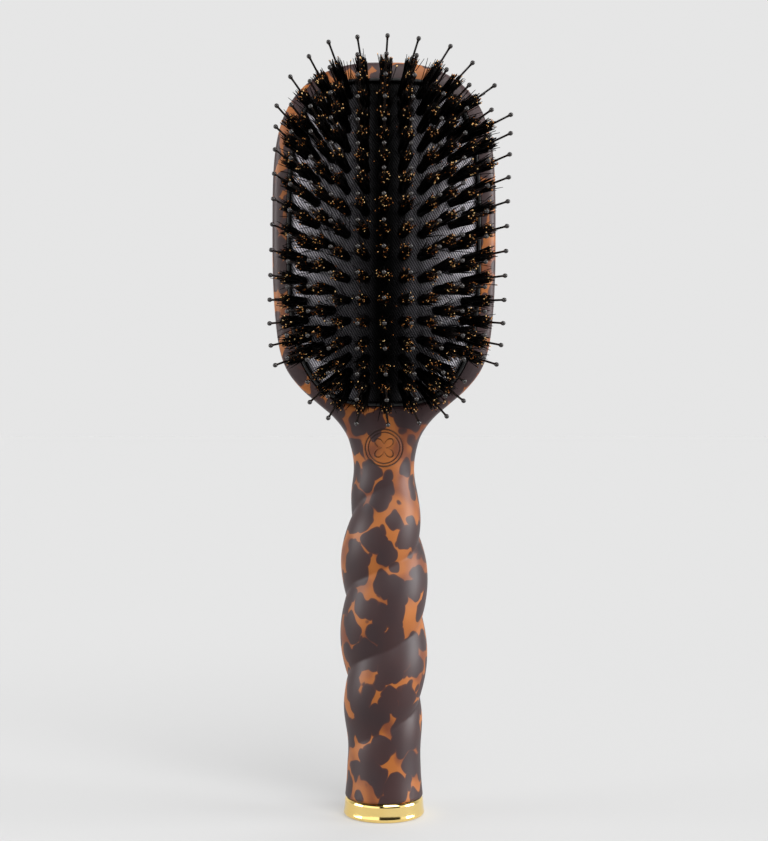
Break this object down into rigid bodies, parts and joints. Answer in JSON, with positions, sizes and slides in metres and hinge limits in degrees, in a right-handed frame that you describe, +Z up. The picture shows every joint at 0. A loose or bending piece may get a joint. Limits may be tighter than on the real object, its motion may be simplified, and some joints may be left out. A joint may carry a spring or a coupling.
{
  "type": "cushion hairbrush",
  "caption": "Upright cushion paddle hairbrush with rope-twist handle, flat metal end cap, woven-faced air cushion and mixed tufts and ball-tipped pins.",
  "frame": {"origin": "centre of the flat end of the cap that the brush stands on", "axes": "+Z up the handle to the head, -Y the way the bristles point, +X to the right seen from the bristle side"},
  "size_m": [0.0784, 0.0547, 0.255],
  "materials": {
    "tortoiseshell_plastic": "satin moulded plastic, dark brown with amber marbling",
    "gold_metal": "polished, gold plated",
    "black_plastic": "plain moulded",
    "ring_plastic": "satin moulded",
    "black_rubber": "matte natural rubber",
    "woven_facing": "fine twill weave",
    "nylon_pin": "smooth nylon",
    "boar_bristle": "natural hair, black with amber ends"
  },
  "bodies": {
    "brush": {"handle_body": "tortoiseshell_plastic", "end_cap": "gold_metal", "cap_plug": "black_plastic", "cushion_ring": "ring_plastic"},
    "cushion": {"cushion_membrane": "black_rubber", "cushion_cloth": "woven_facing", "pins_row_01": "nylon_pin", "pins_row_02": "nylon_pin", "pins_row_03": "nylon_pin", "pins_row_04": "nylon_pin", "pins_row_05": "nylon_pin", "pins_row_06": "nylon_pin", "pins_row_07": "nylon_pin", "pins_row_08": "nylon_pin", "pins_row_09": "nylon_pin", "pins_row_10": "nylon_pin", "pins_row_11": "nylon_pin", "pins_row_12": "nylon_pin", "pins_row_13": "nylon_pin", "pins_row_14": "nylon_pin", "pins_row_15": "nylon_pin", "pins_row_16": "nylon_pin", "pins_row_17": "nylon_pin", "tufts_row_01": "boar_bristle", "tufts_row_02": "boar_bristle", "tufts_row_03": "boar_bristle", "tufts_row_04": "boar_bristle", "tufts_row_05": "boar_bristle", "tufts_row_06": "boar_bristle", "tufts_row_07": "boar_bristle", "tufts_row_08": "boar_bristle", "tufts_row_09": "boar_bristle", "tufts_row_10": "boar_bristle", "tufts_row_11": "boar_bristle", "tufts_row_12": "boar_bristle", "tufts_row_13": "boar_bristle", "tufts_row_14": "boar_bristle", "tufts_row_15": "boar_bristle", "tufts_row_16": "boar_bristle", "tufts_row_17": "boar_bristle"}
  },
  "joints": [
    {"name": "cushion_press", "type": "slide", "parent": "brush", "child": "cushion", "axis": [0, 1, 0], "range_m": [0, 0.002], "stiffness_N_per_m": 3000}
  ]
}
